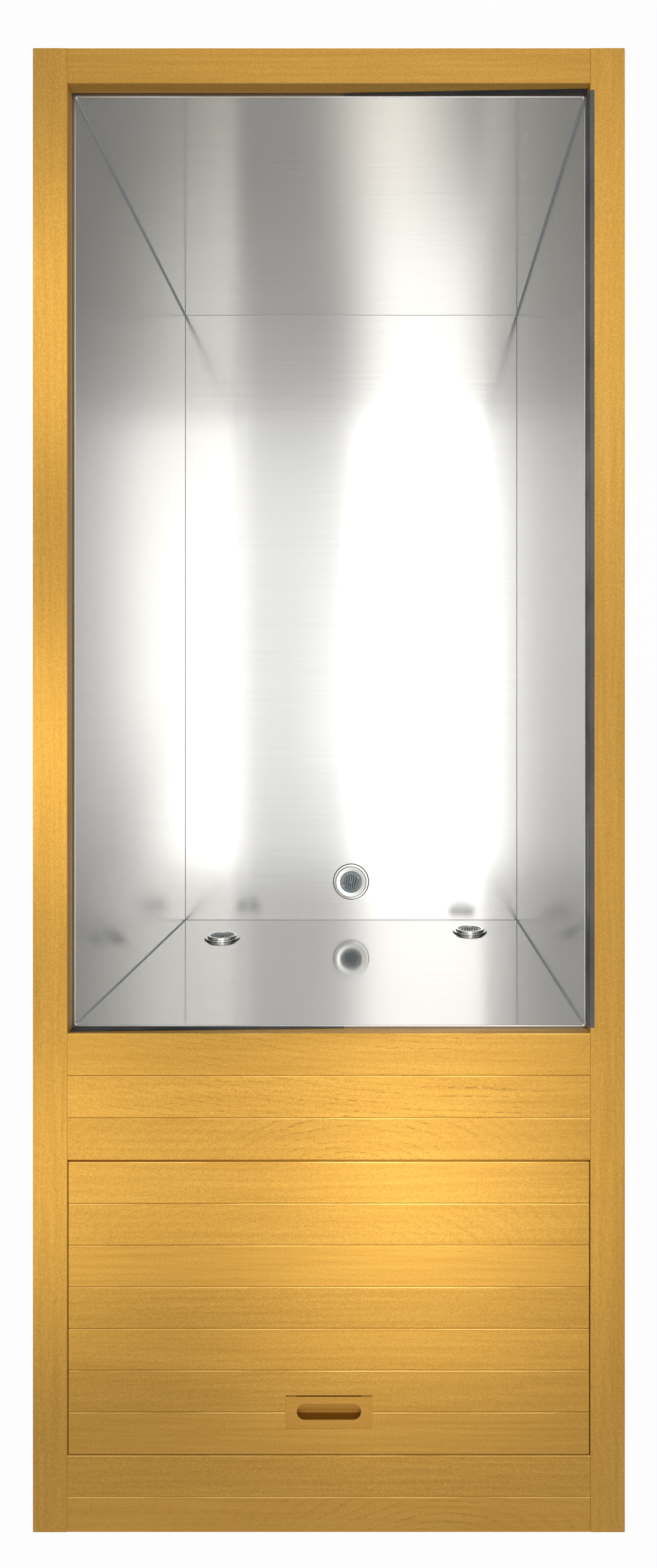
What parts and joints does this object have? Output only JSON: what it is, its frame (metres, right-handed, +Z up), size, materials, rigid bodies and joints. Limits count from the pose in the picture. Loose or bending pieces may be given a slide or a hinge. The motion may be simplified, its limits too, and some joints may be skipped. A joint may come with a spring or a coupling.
{
  "type": "cold plunge tub",
  "caption": "Free-standing cold plunge tub: an insulated stainless basin in a boarded wooden cabinet, with a chiller, pump and filter under a flush lift-up hatch.",
  "frame": {"origin": "on the floor, below the middle of the cabinet", "axes": "+Z up, +Y towards the head end of the tub (the top of the picture), +X to the right of the picture"},
  "size_m": [0.8128, 2.0322, 0.7622],
  "materials": {
    "wood_stained": "satin golden stain",
    "wood_pull": "satin stain, slightly redder",
    "plywood": "matte, unfinished",
    "stainless": "fine brushed",
    "chrome_fitting": "polished",
    "grate_plastic": "satin grey",
    "rubber_seal": "matte black",
    "foam": "matte closed-cell foam",
    "aluminium_bar": "mill finish",
    "galvanised": "galvanised sheet",
    "machine_black": "semi-matte black",
    "motor_blue": "painted casting",
    "pvc_white": "smooth white",
    "housing_plastic": "fine textured dark",
    "bowl_plastic": "smooth blue",
    "filter_paper": "pleated, matte",
    "valve_brass": "as cast, satin",
    "lever_red": "dipped red coating",
    "button_grey": "satin"
  },
  "bodies": {
    "cabinet": {"base_frame": "wood_stained", "floor_panel": "plywood", "side_panel_left": "wood_stained", "side_panel_right": "wood_stained", "side_panel_head": "wood_stained", "side_panel_foot": "wood_stained", "deck_rail_left": "wood_stained", "deck_rail_right": "wood_stained", "deck_rail_head": "wood_stained", "deck_rail_foot": "wood_stained", "deck_plank_1": "wood_stained", "deck_plank_2": "wood_stained", "deck_plank_3": "wood_stained", "deck_plank_4": "wood_stained", "deck_joist": "wood_stained", "hatch_ledger": "aluminium_bar", "hatch_pivot_left": "stainless", "hatch_pivot_right": "stainless", "tub_shell": "stainless", "tub_gasket": "rubber_seal", "tub_insulation": "foam", "suction_flange": "chrome_fitting", "return_flange": "chrome_fitting", "drain_flange": "chrome_fitting", "suction_grate": "grate_plastic", "return_grate": "grate_plastic", "drain_grate": "grate_plastic", "pump_head": "housing_plastic", "pump_motor": "motor_blue", "filter_bowl": "bowl_plastic", "filter_cartridge": "filter_paper", "chiller_tray": "galvanised", "condenser": "aluminium_bar", "fan_shroud": "machine_black", "compressor": "machine_black", "heat_exchanger": "housing_plastic", "suction_pipe": "pvc_white", "filter_pipe": "pvc_white", "chiller_pipe": "pvc_white", "return_pipe": "pvc_white", "drain_pipe": "pvc_white", "drain_valve": "valve_brass", "control_box": "housing_plastic", "vent_grille": "machine_black", "power_inlet": "housing_plastic"},
    "hatch": {"hatch_plank_1": "wood_stained", "hatch_plank_2": "wood_stained", "hatch_plank_3": "wood_stained", "hatch_plank_4": "wood_stained", "hatch_plank_5": "wood_stained", "hatch_plank_6": "wood_stained", "hatch_plank_7": "wood_stained", "hatch_cleat_left": "wood_stained", "hatch_cleat_right": "wood_stained", "hatch_pull": "wood_pull"},
    "fan": {"fan_rotor": "housing_plastic"},
    "impeller": {"pump_impeller": "grate_plastic"},
    "filter_lid": {"filter_cap": "housing_plastic"},
    "drain_handle": {"drain_lever": "lever_red"},
    "power_button": {"control_button": "button_grey"}
  },
  "joints": [
    {"name": "hatch_hinge", "type": "hinge", "parent": "cabinet", "child": "hatch", "pos_m": [0, -0.53748, 0.7527], "axis": [-1, 0, 0], "range_deg": [0, 100]},
    {"name": "fan_spin", "type": "hinge", "parent": "cabinet", "child": "fan", "pos_m": [0.2244, -0.9291, 0.2036], "axis": [0, 1, 0], "continuous": true},
    {"name": "pump_spin", "type": "hinge", "parent": "cabinet", "child": "impeller", "pos_m": [-0.2445, -0.5517, 0.15], "axis": [0, 1, 0], "continuous": true},
    {"name": "filter_cap_turn", "type": "hinge", "parent": "cabinet", "child": "filter_lid", "pos_m": [-0.02, -0.6192, 0.4556], "axis": [0, 0, 1], "range_deg": [0, 90]},
    {"name": "drain_lever_turn", "type": "hinge", "parent": "cabinet", "child": "drain_handle", "pos_m": [-0.131, -0.9598, 0.1078], "axis": [0, 0, 1], "range_deg": [0, 90]},
    {"name": "control_button_press", "type": "slide", "parent": "cabinet", "child": "power_button", "axis": [0, 0, -1], "range_m": [0, 0.002], "stiffness_N_per_m": 300, "springref_m": -0.0005}
  ]
}
